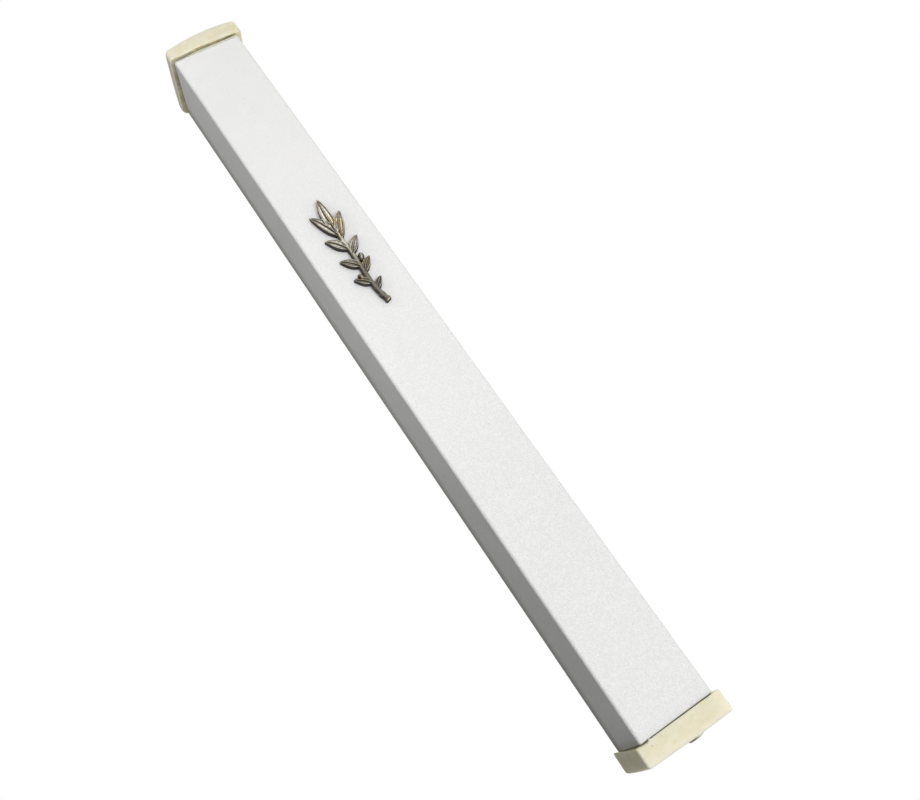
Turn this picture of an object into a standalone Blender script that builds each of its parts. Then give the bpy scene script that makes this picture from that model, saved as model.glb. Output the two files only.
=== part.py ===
"""Slim aluminium mezuzah case with two rubber end plugs, a cast sprig emblem and a rolled parchment.

Frame: metres, +Z up the case, -Y the front that carries the emblem.  The origin is the centre of the
adhesive strip's outer face, the face that lies on the doorpost.
"""

import math
from collections import namedtuple

import bmesh
import bpy
from mathutils import Matrix, Vector

# ---------------------------------------------------------------- driving dimensions, in metres
TUBE_LENGTH = 0.172
TUBE_WIDTH = 0.016
TUBE_DEPTH = 0.0172
TUBE_WALL = 0.001
TUBE_CORNER_RADIUS = 0.0006
TUBE_BACK_CORNER_RADIUS = 0.0004
BORE_CORNER_RADIUS = 0.0003
TUBE_END_CHAMFER = 0.00015

FIT_GAP = 0.00025

FLANGE_FRONT_OVERHANG = 0.00075
FLANGE_INNER_ROUND = 0.00025
FLANGE_LEAST_CORNER = 0.00015
UPPER_FLANGE_WIDTH = 0.0180
UPPER_FLANGE_SHIFT = -0.0001
UPPER_FLANGE_TWIST = 2.4
UPPER_BACK_OVERHANG = 0.00065
UPPER_FLANGE_THICKNESS = 0.00518
UPPER_FLANGE_CORNER = 0.0013
UPPER_OUTER_ROUND = 0.0009
LOWER_FLANGE_WIDTH = 0.0182
LOWER_FLANGE_SHIFT = 0.00003
LOWER_FLANGE_TWIST = 0.8
LOWER_BACK_OVERHANG = 0.0004
LOWER_FLANGE_THICKNESS = 0.00412
LOWER_FLANGE_CORNER = 0.00045
LOWER_OUTER_ROUND = 0.0007
# The outer face is highest at x = crest and falls away from there by bow times the distance squared;
# the bows are in metres per square metre.
UPPER_CREST_X = 0.0035
UPPER_BOW_X = 10.8
UPPER_BOW_Y = 4.0
LOWER_CREST_X = 0.0075
LOWER_BOW_X = 1.0
LOWER_BOW_Y = 1.0

SPIGOT_LENGTH = 0.009
SPIGOT_CORE_WIDTH = 0.0126
SPIGOT_CORE_DEPTH = 0.0138
SPIGOT_CORNER = 0.0010
SPIGOT_TIP_INSET = 0.0006
RIB_COUNT = 3
RIB_HEIGHT = 0.00045
RIB_PITCH = 0.0024
RIB_RAMP = 0.0015
RIB_CREST = 0.0004

NIB_RADIUS = 0.00185
NIB_HEIGHT = 0.0006
NIB_TOP_RADIUS = 0.0014
NIB_OFFSET_X = 0.0020
NIB_OFFSET_FRONT = 0.0051

EMBLEM_CENTRE_Z = 0.0228
EMBLEM_STAND_OFF = 0.0004
LEAF_RIM_HEIGHT = 0.0009
LEAF_RIB_HEIGHT = 0.00125
STEM_WIDTH_TOP = 0.0011
STEM_WIDTH_FOOT = 0.0015
STEM_HEIGHT = 0.0012
BERRY_HEIGHT = 0.0013

GLUE_WIDTH = 0.0008
GLUE_LENGTH = 0.016
GLUE_THICKNESS = 0.00015

STRIP_LENGTH = 0.150
STRIP_WIDTH = 0.012
STRIP_THICKNESS = 0.001
STRIP_CORNER = 0.0006

SCROLL_LENGTH = 0.150
SCROLL_CORE_RADIUS = 0.0019
SCROLL_OUTER_RADIUS = 0.0055
PARCHMENT_THICKNESS = 0.00025
PARCHMENT_PITCH = 0.00056

SLEEVE_LENGTH = 0.1515
SLEEVE_WALL = 0.0002

# ---------------------------------------------------------------- places that follow from them
HALF_WIDTH = TUBE_WIDTH / 2
HALF_DEPTH = TUBE_DEPTH / 2
TUBE_AXIS_Y = -(STRIP_THICKNESS + FIT_GAP + HALF_DEPTH)
UPPER_END_Z = TUBE_LENGTH / 2
LOWER_END_Z = -TUBE_LENGTH / 2
SLEEVE_INNER_RADIUS = SCROLL_OUTER_RADIUS + PARCHMENT_THICKNESS / 2 + FIT_GAP
SLEEVE_OUTER_RADIUS = SLEEVE_INNER_RADIUS + SLEEVE_WALL
SLEEVE_FOOT_Z = LOWER_END_Z + SPIGOT_LENGTH + FIT_GAP
SLEEVE_CENTRE_Z = SLEEVE_FOOT_Z + SLEEVE_LENGTH / 2

CORNER_STEPS = 4
SIDE_STEPS = 4
TUBE_CORNER_STEPS = 7
ROUND_STEPS = 48
NIB_STEPS = 20
BERRY_STEPS = 14
LEAF_STEPS = 8
SCROLL_STEPS_PER_TURN = 28

# A flange: its width, how far it overhangs the tube's back, its sideways shift, how many degrees it is
# twisted on its spigot, its thickness at the crest, its corner and outer edge radii, and the place of its
# crest with the two bows.
Flange = namedtuple("Flange", "width back shift twist thickness corner round crest bow_x bow_y")
UPPER_FLANGE = Flange(
    UPPER_FLANGE_WIDTH,
    UPPER_BACK_OVERHANG,
    UPPER_FLANGE_SHIFT,
    UPPER_FLANGE_TWIST,
    UPPER_FLANGE_THICKNESS,
    UPPER_FLANGE_CORNER,
    UPPER_OUTER_ROUND,
    UPPER_CREST_X,
    UPPER_BOW_X,
    UPPER_BOW_Y,
)
LOWER_FLANGE = Flange(
    LOWER_FLANGE_WIDTH,
    LOWER_BACK_OVERHANG,
    LOWER_FLANGE_SHIFT,
    LOWER_FLANGE_TWIST,
    LOWER_FLANGE_THICKNESS,
    LOWER_FLANGE_CORNER,
    LOWER_OUTER_ROUND,
    LOWER_CREST_X,
    LOWER_BOW_X,
    LOWER_BOW_Y,
)

# Each leaf: x and z of its base, lean from upright in degrees, length and width.  Lengths are in
# millimetres, and places are from the emblem's centre, seen from the front.
LEAVES = (
    (0.00, 4.6, 3.0, 9.7, 2.5),
    (-0.10, 4.0, -23.0, 7.6, 2.2),
    (0.15, 3.2, 25.0, 7.2, 2.2),
    (-0.10, 0.2, -38.0, 5.3, 2.0),
    (0.10, -1.2, 40.0, 5.0, 2.0),
    (-0.05, -4.6, -46.0, 4.5, 1.8),
    (0.05, -6.2, 44.0, 4.2, 1.7),
    (-0.05, -9.2, -50.0, 3.9, 1.6),
    (0.10, -10.9, 46.0, 3.4, 1.5),
)
# Each olive: x and z of its centre, then its length and width, in millimetres.
BERRIES = (
    (1.25, -2.6, 1.9, 1.4),
    (-1.25, -6.9, 1.8, 1.3),
)
# The stem's centre line from its foot to its tip, x and z in millimetres.
STEM_LINE = (
    (0.95, -14.2),
    (0.45, -12.6),
    (0.12, -10.6),
    (-0.05, -7.0),
    (0.05, -2.0),
    (-0.02, 2.5),
    (0.05, 6.5),
)
# Half of the stem's section: share of the half width, then share of the height, outside edge first.
STEM_SECTION = ((1.0, 0), (1.0, 0.5), (0.6, 0.88), (0, 1))


def millimetres(value):
    """A length given in millimetres, in metres."""
    return value / 1000


def clear_scene():
    for scene_object in list(bpy.data.objects):
        bpy.data.objects.remove(scene_object, do_unlink=True)


def make_material(name, colour, roughness, metallic=0.0, alpha=1.0):
    material = bpy.data.materials.new(name)
    material.use_nodes = True
    shader = material.node_tree.nodes["Principled BSDF"]
    shader.inputs["Base Color"].default_value = (*colour, 1.0)
    shader.inputs["Roughness"].default_value = roughness
    shader.inputs["Metallic"].default_value = metallic
    shader.inputs["Alpha"].default_value = alpha
    return material


def add_empty(name, location, parent=None):
    empty = bpy.data.objects.new(name, None)
    empty.location = location
    empty.parent = parent
    empty.empty_display_size = 0.005
    bpy.context.scene.collection.objects.link(empty)
    return empty


def add_solid(name, mesh_data, material, location=(0, 0, 0), parent=None, sharp_angle=35):
    """Turns a bmesh into an object whose round faces shade smooth."""
    bmesh.ops.recalc_face_normals(mesh_data, faces=mesh_data.faces)
    mesh = bpy.data.meshes.new(name)
    mesh_data.to_mesh(mesh)
    mesh_data.free()
    mesh.shade_smooth()
    mesh.set_sharp_from_angle(angle=math.radians(sharp_angle))
    mesh.materials.append(material)
    solid = bpy.data.objects.new(name, mesh)
    solid.location = location
    solid.parent = parent
    bpy.context.scene.collection.objects.link(solid)
    return solid


def add_guide(name, mesh_data, parent):
    """A solid that a Boolean reads, which isn't a piece of its own."""
    guide = add_solid(name, mesh_data, parent.data.materials[0], parent=parent)
    guide.hide_render = True
    guide.display_type = "WIRE"
    return guide


# ---------------------------------------------------------------- outlines and lofting
def rounded_rectangle(half_x, half_y, radius, corner_steps=CORNER_STEPS, side_steps=1, back_radius=None):
    """Counter-clockwise outline: four corner arcs, with side_steps spans on each straight side.

    The two corners on the +Y side take back_radius where it is given.
    """
    back = radius if back_radius is None else back_radius
    centres = (
        (half_x - back, half_y - back, back, 0),
        (back - half_x, half_y - back, back, 90),
        (radius - half_x, radius - half_y, radius, 180),
        (half_x - radius, radius - half_y, radius, 270),
    )
    corners = []
    for centre_x, centre_y, reach, start in centres:
        arc = []
        for step in range(corner_steps + 1):
            angle = math.radians(start + 90 * step / corner_steps)
            arc.append(Vector((centre_x + reach * math.cos(angle), centre_y + reach * math.sin(angle))))
        corners.append(arc)
    outline = []
    for index, arc in enumerate(corners):
        outline.extend(arc)
        following = corners[(index + 1) % 4][0]
        for step in range(1, side_steps):
            outline.append(arc[-1].lerp(following, step / side_steps))
    return outline


def add_ring(mesh_data, outline, height):
    """One ring of vertices; height is a number, or a function of x and y."""
    ring = []
    for point in outline:
        z = height(point.x, point.y) if callable(height) else height
        ring.append(mesh_data.verts.new((point.x, point.y, z)))
    return ring


def bridge_rings(mesh_data, rings, closed=False):
    """Joins neighbouring rings of equal length with quads; closed also joins the last to the first."""
    pairs = list(zip(rings, rings[1:]))
    if closed:
        pairs.append((rings[-1], rings[0]))
    for first, second in pairs:
        for index in range(len(first)):
            following = (index + 1) % len(first)
            mesh_data.faces.new((first[index], first[following], second[following], second[index]))


def cap_ends(mesh_data, rings):
    """Closes a loft with one face over its first ring and one over its last."""
    mesh_data.faces.new(rings[0])
    mesh_data.faces.new(rings[-1])


def circle(radius, steps=ROUND_STEPS):
    points = []
    for step in range(steps):
        angle = 2 * math.pi * step / steps
        points.append(Vector((radius * math.cos(angle), radius * math.sin(angle))))
    return points


# ---------------------------------------------------------------- tube
def tube_outline(inset, radius, back_radius):
    """The tube's section, drawn in by inset."""
    return rounded_rectangle(
        HALF_WIDTH - inset, HALF_DEPTH - inset, radius, TUBE_CORNER_STEPS, back_radius=back_radius
    )


def build_tube(parent):
    """Extruded tube: outer skin, bore and the two cut ends, each edge slightly broken."""
    chamfer = TUBE_END_CHAMFER
    top = UPPER_END_Z
    outer = tube_outline(0, TUBE_CORNER_RADIUS, TUBE_BACK_CORNER_RADIUS)
    outer_end = tube_outline(chamfer, TUBE_CORNER_RADIUS - chamfer, TUBE_BACK_CORNER_RADIUS - chamfer)
    bore = tube_outline(TUBE_WALL, BORE_CORNER_RADIUS, BORE_CORNER_RADIUS)
    bore_end = tube_outline(TUBE_WALL - chamfer, BORE_CORNER_RADIUS + chamfer, BORE_CORNER_RADIUS + chamfer)
    profile = (
        (outer_end, -top),
        (outer, -top + chamfer),
        (outer, top - chamfer),
        (outer_end, top),
        (bore_end, top),
        (bore, top - chamfer),
        (bore, -top + chamfer),
        (bore_end, -top),
    )
    mesh_data = bmesh.new()
    rings = [add_ring(mesh_data, outline, height) for outline, height in profile]
    bridge_rings(mesh_data, rings, closed=True)
    paint = make_material("white_powder_coat", (0.83, 0.83, 0.83), 0.5)
    return add_solid("tube_body", mesh_data, paint, parent=parent)


# ---------------------------------------------------------------- end plugs
def outer_height(flange, x, y):
    """Height of the flange's outer face above the tube's end."""
    fall = flange.bow_x * (x - flange.crest) ** 2 + flange.bow_y * y * y
    return FIT_GAP + flange.thickness - fall


def flange_half_depth(flange):
    return HALF_DEPTH + (FLANGE_FRONT_OVERHANG + flange.back) / 2


def flange_outline(flange, side, inset, scale=1.0):
    """The flange's outline drawn in by inset, scaled and twisted about the flange's own middle."""
    radius = max(flange.corner - inset, FLANGE_LEAST_CORNER) * scale
    half_x = (flange.width / 2 - inset) * scale
    half_y = (flange_half_depth(flange) - inset) * scale
    middle = Vector((flange.shift, side * (flange.back - FLANGE_FRONT_OVERHANG) / 2))
    twist = Matrix.Rotation(math.radians(flange.twist), 2)
    outline = rounded_rectangle(half_x, half_y, radius, side_steps=SIDE_STEPS)
    return [twist @ point + middle for point in outline]


def flange_rings(mesh_data, flange, side):
    """Rings of the flange from the middle of its outer face to the edge of its inner face."""
    rings = []
    for scale in (0.07, 0.3, 0.52, 0.72, 0.88):
        outline = flange_outline(flange, side, flange.round, scale)
        rings.append(add_ring(mesh_data, outline, lambda x, y: outer_height(flange, x, y)))
    for degrees in (0, 23, 45, 67, 90):
        angle = math.radians(degrees)
        drop = flange.round * (1 - math.cos(angle))
        outline = flange_outline(flange, side, flange.round * (1 - math.sin(angle)))
        rings.append(add_ring(mesh_data, outline, lambda x, y, d=drop: outer_height(flange, x, y) - d))
    for degrees in (0, 45, 90):
        angle = math.radians(degrees)
        outline = flange_outline(flange, side, FLANGE_INNER_ROUND * (1 - math.cos(angle)))
        rings.append(add_ring(mesh_data, outline, FIT_GAP + FLANGE_INNER_ROUND * (1 - math.sin(angle))))
    return rings


def spigot_rings(mesh_data):
    """Rings of the spigot from its root under the flange to its tip, with ratchet-shaped ribs."""
    core = SPIGOT_CORE_WIDTH / 2
    deeper = (SPIGOT_CORE_DEPTH - SPIGOT_CORE_WIDTH) / 2
    stations = [(core, FIT_GAP)]
    first_rib = RIB_PITCH / 3
    for rib in range(RIB_COUNT):
        start = first_rib + rib * RIB_PITCH
        stations.append((core, -start))
        stations.append((core + RIB_HEIGHT, -start - 0.1 * RIB_CREST))
        stations.append((core + RIB_HEIGHT, -start - RIB_CREST))
        stations.append((core, -start - RIB_RAMP))
    stations.append((core, -SPIGOT_LENGTH + SPIGOT_TIP_INSET))
    stations.append((core - SPIGOT_TIP_INSET, -SPIGOT_LENGTH))
    stations.append((core * 0.3, -SPIGOT_LENGTH))
    rings = []
    for half, height in stations:
        corner = SPIGOT_CORNER * min(1, half / core)
        outline = rounded_rectangle(half, half + deeper, corner, side_steps=SIDE_STEPS)
        rings.append(add_ring(mesh_data, outline, height))
    return rings


def build_nib(plug, flange, side):
    """Guide solid for the low moulding nib on the plug's outer face, towards the front."""
    face_z = outer_height(flange, NIB_OFFSET_X, NIB_OFFSET_FRONT)
    profile = (
        (NIB_RADIUS, face_z - flange.thickness / 2),
        (NIB_RADIUS, face_z + NIB_HEIGHT * 0.15),
        ((NIB_RADIUS + NIB_TOP_RADIUS) / 2, face_z + NIB_HEIGHT * 0.75),
        (NIB_TOP_RADIUS, face_z + NIB_HEIGHT),
    )
    mesh_data = bmesh.new()
    rings = [add_ring(mesh_data, circle(radius, NIB_STEPS), height) for radius, height in profile]
    bridge_rings(mesh_data, rings)
    cap_ends(mesh_data, rings)
    bmesh.ops.translate(mesh_data, verts=mesh_data.verts, vec=(NIB_OFFSET_X, -NIB_OFFSET_FRONT * side, 0))
    return add_guide(plug.name + "_nib", mesh_data, plug)


def build_plug(name, end_z, side, flange, parent):
    """Rubber plug; side is 1 at the upper end and -1 at the lower, where the plug is turned over."""
    mesh_data = bmesh.new()
    rings = flange_rings(mesh_data, flange, side) + spigot_rings(mesh_data)
    bridge_rings(mesh_data, rings)
    cap_ends(mesh_data, rings)
    rubber = make_material(name + "_rubber", (0.78, 0.73, 0.58), 0.6)
    plug = add_solid(name, mesh_data, rubber, location=(0, 0, end_z), parent=parent)
    if side < 0:
        plug.rotation_euler = (math.pi, 0, 0)
    join = plug.modifiers.new("nib", "BOOLEAN")
    join.operation = "UNION"
    join.object = build_nib(plug, flange, side)
    return plug


# ---------------------------------------------------------------- emblem
def emblem_point(x, z, height):
    """A point of the emblem: x and z as seen from the front, height out of the case's front face."""
    return Vector((x, -height, z))


def build_leaf(base_x, base_z, lean, length, width):
    """Pointed leaf with a flat back, a low rim and a raised rib down its middle."""
    steps = LEAF_STEPS
    mesh_data = bmesh.new()
    turn = math.radians(lean)
    along = Vector((math.sin(turn), math.cos(turn)))
    across = Vector((math.cos(turn), -math.sin(turn)))
    base = Vector((base_x, base_z))

    def place(distance, offset, height):
        flat = base + along * distance + across * offset
        return mesh_data.verts.new(emblem_point(flat.x, flat.y, height))

    def half_width(share):
        return width / 2 * math.sin(math.pi * share**0.8) ** 0.75

    inner = [step / steps for step in range(1, steps)]
    back = [place(0, 0, 0)]
    rim = [place(0, 0, LEAF_RIM_HEIGHT)]
    for share in inner:
        back.append(place(length * share, half_width(share), 0))
        rim.append(place(length * share, half_width(share), LEAF_RIM_HEIGHT))
    back.append(place(length, 0, 0))
    rim.append(place(length, 0, LEAF_RIM_HEIGHT * 0.8))
    for share in reversed(inner):
        back.append(place(length * share, -half_width(share), 0))
        rim.append(place(length * share, -half_width(share), LEAF_RIM_HEIGHT))
    rib = [place(length * share, 0, LEAF_RIB_HEIGHT) for share in inner]

    mesh_data.faces.new(back)
    bridge_rings(mesh_data, [back, rim])
    count = len(rim)
    mesh_data.faces.new((rim[0], rim[1], rib[0]))
    mesh_data.faces.new((rim[0], rib[0], rim[count - 1]))
    for index in range(len(rib) - 1):
        mesh_data.faces.new((rim[index + 1], rim[index + 2], rib[index + 1], rib[index]))
        mesh_data.faces.new((rib[index], rib[index + 1], rim[count - index - 2], rim[count - index - 1]))
    mesh_data.faces.new((rib[-1], rim[steps - 1], rim[steps]))
    mesh_data.faces.new((rib[-1], rim[steps], rim[steps + 1]))
    return mesh_data


def build_berry(centre_x, centre_z, length, width):
    """Low olive-shaped boss with a flat back."""
    mesh_data = bmesh.new()
    rings = []
    for height, scale in ((0, 1.0), (0.45, 1.0), (0.75, 0.8), (0.94, 0.5), (1.0, 0.18)):
        ring = []
        for point in circle(1, BERRY_STEPS):
            x = centre_x + point.x * width / 2 * scale
            z = centre_z + point.y * length / 2 * scale
            ring.append(mesh_data.verts.new(emblem_point(x, z, BERRY_HEIGHT * height)))
        rings.append(ring)
    bridge_rings(mesh_data, rings)
    cap_ends(mesh_data, rings)
    return mesh_data


def build_stem():
    """Stem of arched section that follows STEM_LINE and tapers towards its tip."""
    mesh_data = bmesh.new()
    points = [Vector((millimetres(x), millimetres(z))) for x, z in STEM_LINE]
    section = STEM_SECTION + tuple((-reach, height) for reach, height in STEM_SECTION[-2::-1])
    rings = []
    for index, point in enumerate(points):
        before = points[max(index - 1, 0)]
        after = points[min(index + 1, len(points) - 1)]
        along = (after - before).normalized()
        across = Vector((along.y, -along.x))
        share = index / (len(points) - 1)
        width = STEM_WIDTH_FOOT + (STEM_WIDTH_TOP - STEM_WIDTH_FOOT) * share
        ring = []
        for reach, height in section:
            flat = point + across * (width / 2 * reach)
            ring.append(mesh_data.verts.new(emblem_point(flat.x, flat.y, STEM_HEIGHT * height)))
        rings.append(ring)
    bridge_rings(mesh_data, rings)
    cap_ends(mesh_data, rings)
    return mesh_data


def build_emblem(parent):
    """Cast olive sprig: the stem with its leaves and olives joined into one solid."""
    bronze = make_material("antique_bronze", (0.33, 0.28, 0.2), 0.45, 1.0)
    front = emblem_point(0, EMBLEM_CENTRE_Z, HALF_DEPTH + EMBLEM_STAND_OFF)
    emblem = add_solid("emblem", build_stem(), bronze, location=front, parent=parent)
    pieces = bpy.data.collections.new("emblem_pieces")
    bpy.context.scene.collection.children.link(pieces)
    solids = []
    for base_x, base_z, lean, length, width in LEAVES:
        solids.append(
            build_leaf(
                millimetres(base_x), millimetres(base_z), lean, millimetres(length), millimetres(width)
            )
        )
    for berry in BERRIES:
        solids.append(build_berry(*[millimetres(value) for value in berry]))
    for index, mesh_data in enumerate(solids):
        guide = add_guide("emblem_guide_%d" % index, mesh_data, emblem)
        bpy.context.scene.collection.objects.unlink(guide)
        pieces.objects.link(guide)
    join = emblem.modifiers.new("leaves", "BOOLEAN")
    join.operation = "UNION"
    join.operand_type = "COLLECTION"
    join.collection = pieces
    return emblem


def build_emblem_adhesive(parent):
    """Thin bar of glue between the emblem's stem and the front of the case."""
    glue = make_material("clear_glue", (0.7, 0.66, 0.55), 0.3)
    outline = rounded_rectangle(GLUE_WIDTH / 2, GLUE_LENGTH / 2, GLUE_WIDTH * 0.45)
    mesh_data = bmesh.new()
    rings = [add_ring(mesh_data, outline, z) for z in (-GLUE_THICKNESS / 2, GLUE_THICKNESS / 2)]
    bridge_rings(mesh_data, rings)
    cap_ends(mesh_data, rings)
    middle = emblem_point(0, EMBLEM_CENTRE_Z - millimetres(2.0), HALF_DEPTH + EMBLEM_STAND_OFF / 2)
    pad = add_solid("emblem_adhesive", mesh_data, glue, location=middle, parent=parent)
    pad.rotation_euler = (math.pi / 2, 0, 0)
    return pad


# ---------------------------------------------------------------- mounting strip
def build_adhesive_strip(parent):
    """Foam mounting tape along the back of the case."""
    outline = rounded_rectangle(STRIP_WIDTH / 2, STRIP_LENGTH / 2, STRIP_CORNER)
    mesh_data = bmesh.new()
    rings = [add_ring(mesh_data, outline, z) for z in (-STRIP_THICKNESS / 2, STRIP_THICKNESS / 2)]
    bridge_rings(mesh_data, rings)
    cap_ends(mesh_data, rings)
    foam = make_material("foam_tape", (0.8, 0.8, 0.78), 0.8)
    middle = (0, HALF_DEPTH + FIT_GAP + STRIP_THICKNESS / 2, 0)
    strip = add_solid("adhesive_strip", mesh_data, foam, location=middle, parent=parent)
    strip.rotation_euler = (math.pi / 2, 0, 0)
    return strip


# ---------------------------------------------------------------- scroll
def build_scroll(parent):
    """Parchment sheet rolled into a spiral that opens outwards, one turn per PARCHMENT_PITCH."""
    turns = (SCROLL_OUTER_RADIUS - SCROLL_CORE_RADIUS) / PARCHMENT_PITCH
    steps = round(turns * SCROLL_STEPS_PER_TURN)
    inner_side = []
    outer_side = []
    for step in range(steps + 1):
        angle = 2 * math.pi * turns * step / steps
        radius = SCROLL_CORE_RADIUS + PARCHMENT_PITCH * angle / (2 * math.pi)
        direction = Vector((math.cos(angle), math.sin(angle)))
        inner_side.append(direction * (radius - PARCHMENT_THICKNESS / 2))
        outer_side.append(direction * (radius + PARCHMENT_THICKNESS / 2))
    outline = outer_side + inner_side[::-1]
    mesh_data = bmesh.new()
    rings = [add_ring(mesh_data, outline, z) for z in (-SCROLL_LENGTH / 2, SCROLL_LENGTH / 2)]
    bridge_rings(mesh_data, rings)
    last = len(outline) - 1
    for ring in rings:
        for step in range(steps):
            mesh_data.faces.new((ring[step], ring[step + 1], ring[last - step - 1], ring[last - step]))
    parchment = make_material("parchment", (0.8, 0.7, 0.5), 0.7)
    return add_solid("parchment_scroll", mesh_data, parchment, parent=parent)


def build_sleeve(parent):
    """Clear film tube that keeps the parchment rolled and dry."""
    half = SLEEVE_LENGTH / 2
    mesh_data = bmesh.new()
    profile = (
        (SLEEVE_OUTER_RADIUS, -half),
        (SLEEVE_OUTER_RADIUS, half),
        (SLEEVE_INNER_RADIUS, half),
        (SLEEVE_INNER_RADIUS, -half),
    )
    rings = [add_ring(mesh_data, circle(radius), height) for radius, height in profile]
    bridge_rings(mesh_data, rings, closed=True)
    film = make_material("clear_film", (0.9, 0.92, 0.93), 0.1, alpha=0.3)
    return add_solid("scroll_sleeve", mesh_data, film, parent=parent)


def build_case():
    clear_scene()
    case_axis = add_empty("case_axis", (0, TUBE_AXIS_Y, 0))
    build_tube(case_axis)
    build_emblem(case_axis)
    build_emblem_adhesive(case_axis)
    build_adhesive_strip(case_axis)
    build_plug("upper_plug", UPPER_END_Z, 1, UPPER_FLANGE, case_axis)
    build_plug("lower_plug", LOWER_END_Z, -1, LOWER_FLANGE, case_axis)
    scroll_axis = add_empty("scroll_axis", (0, 0, SLEEVE_CENTRE_Z), case_axis)
    build_scroll(scroll_axis)
    build_sleeve(scroll_axis)


build_case()
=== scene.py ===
"""Looks of the mezuzah case: powder-coated tube, rubber end plugs, cast sprig, tape and rolled parchment.

Metres throughout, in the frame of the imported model: +Z up the case and -Y the front that carries the
emblem.  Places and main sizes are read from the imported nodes; the values below are the surface details
that those nodes leave out.
"""

import math
from collections import namedtuple

import bmesh
import bpy
import numpy as np
from mathutils import Matrix, Vector, noise


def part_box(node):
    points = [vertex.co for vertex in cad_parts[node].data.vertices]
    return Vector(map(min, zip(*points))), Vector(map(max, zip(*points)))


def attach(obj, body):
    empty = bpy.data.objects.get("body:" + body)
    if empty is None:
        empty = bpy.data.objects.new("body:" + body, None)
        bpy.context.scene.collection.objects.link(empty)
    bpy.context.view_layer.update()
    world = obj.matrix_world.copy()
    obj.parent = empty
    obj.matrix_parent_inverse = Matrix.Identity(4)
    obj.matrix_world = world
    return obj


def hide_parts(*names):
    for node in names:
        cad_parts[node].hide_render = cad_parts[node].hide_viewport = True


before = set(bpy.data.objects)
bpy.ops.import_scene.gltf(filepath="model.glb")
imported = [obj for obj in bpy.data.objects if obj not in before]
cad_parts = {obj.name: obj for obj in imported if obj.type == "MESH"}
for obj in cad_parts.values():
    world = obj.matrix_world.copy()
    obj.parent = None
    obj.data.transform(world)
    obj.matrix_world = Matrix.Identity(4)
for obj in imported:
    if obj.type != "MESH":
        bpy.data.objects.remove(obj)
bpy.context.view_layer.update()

MM = 0.001

# ---------------- the frame's own sizes
TUBE_LOW, TUBE_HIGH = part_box("tube_body")
TUBE_CENTRE = (TUBE_LOW + TUBE_HIGH) / 2
HALF_WIDTH = (TUBE_HIGH.x - TUBE_LOW.x) / 2
HALF_DEPTH = (TUBE_HIGH.y - TUBE_LOW.y) / 2
EMBLEM_LOW, EMBLEM_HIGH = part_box("emblem")
STRIP_LOW, STRIP_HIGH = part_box("adhesive_strip")
SCROLL_LOW, SCROLL_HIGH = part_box("parchment_scroll")
SLEEVE_LOW, SLEEVE_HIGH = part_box("scroll_sleeve")

# ---------------- camera, stage and lights
CAMERA_FROM_CASE = Vector((-0.04880, -0.17646, -0.07439))
CAMERA_TURN = (111.862, 33.225, -4.156)
CAMERA_LENS = 37.385

FLOOR_DROP = 0.40
FLOOR_RADIUS = 0.60

# Each soft box: its place from the middle of the case, width, height and power, whether it lights matt
# surfaces, whether it shows in reflections, and the height on the case that it is aimed at.
Softbox = namedtuple("Softbox", "name place width height power lights reflected aim_z")
SOFTBOXES = (
    Softbox("key_softbox", Vector((0.02, -0.55, 0.10)), 0.50, 0.40, 0.40, True, False, -0.02),
    Softbox("low_softbox", Vector((0.05, -0.45, -0.15)), 0.40, 0.40, 1.20, True, True, -0.05),
    Softbox("high_glint", Vector((0.20, -0.40, 0.42)), 0.40, 0.26, 0.45, False, True, 0.02),
    Softbox("left_fill", Vector((-0.10, -0.06, 0.11)), 0.06, 0.06, 0.037, True, False, 0.03),
    Softbox("left_strip", Vector((-0.045, -0.040, 0.00)), 0.22, 0.02, 0.0100, True, False, 0.00),
    Softbox("back_softbox", Vector((0.30, 0.60, 0.20)), 0.60, 0.50, 3.2, True, False, 0.0),
)
WORLD_LEVEL = 0.32
WORLD_RIGHT_RISE = 0.292
WORLD_UP_RISE = 0.028
WORLD_LEAST = 0.02
WORLD_TINT = (1.0, 1.0, 0.95)

# ---------------- tube
# Width of the painted shade along the left face's back edge.
BACK_SHADE_WIDTH = 5.5 * MM
TUBE_CORNER = 0.6 * MM

# ---------------- end plugs
FLANGE_LEAST_CORNER = 0.15 * MM
FACE_RINGS = 12
EDGE_RINGS = 9
SIDE_RINGS = 9
INNER_RINGS = 5
LIP_FOOT = 0.03 * MM
LIP_TOP = 0.50 * MM
LIP_REACH = -0.02 * MM
LIP_LEFT_REACH = -0.06 * MM
LIP_ROUND = 0.06 * MM
GROOVE_TOP = 0.68 * MM
GROOVE_DEPTH = 0.06 * MM
SEAM_REACH = 2.6 * MM
LOWER_FOOT = 0.05 * MM
SEAT_REACH = 0.06 * MM
SPIGOT_LENGTH = 9.0 * MM
SPIGOT_CORE_HALF = 6.3 * MM
SPIGOT_DEEPER = 0.6 * MM
SPIGOT_CORNER = 1.0 * MM
SPIGOT_TIP_INSET = 0.6 * MM
RIB_COUNT = 3
RIB_HEIGHT = 0.45 * MM
RIB_PITCH = 2.4 * MM
RIB_RAMP = 1.5 * MM
RIB_CREST = 0.4 * MM
SKIN_WAVE = 5 * MM
SKIN_WAVE_DEPTH = 0.018 * MM
SKIN_RIPPLE = 1.4 * MM
SKIN_RIPPLE_DEPTH = 0.010 * MM
HEIGHT_TOLERANCE = 0.01 * MM
EDGE_WEAR = 0.06 * MM
EDGE_WEAR_BAND = 0.7 * MM
EDGE_WEAR_WAVE = 1.1 * MM
# Left of this x the upper plug is painted paler: painted light on its left side.
PAINTED_LIGHT_LEFT_OF = -8 * MM
SEAM_SQUEEZE = 0.70
SEAM_OPEN_FROM = -1.5 * MM
SEAM_SHUT_FROM = -6.5 * MM
LIFT_BAND = 1.3 * MM
BITE_DEPTH = 0.24 * MM
BITE_LEFT = (-8.6 * MM, -7.7 * MM)
BITE_RIGHT = (-6.9 * MM, -6.4 * MM)
BITE_FRONT = (8.5 * MM, 8.9 * MM)
CURL_DEPTH = 0.45 * MM
CURL_LEFT = (-8.1 * MM, -8.5 * MM)
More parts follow.
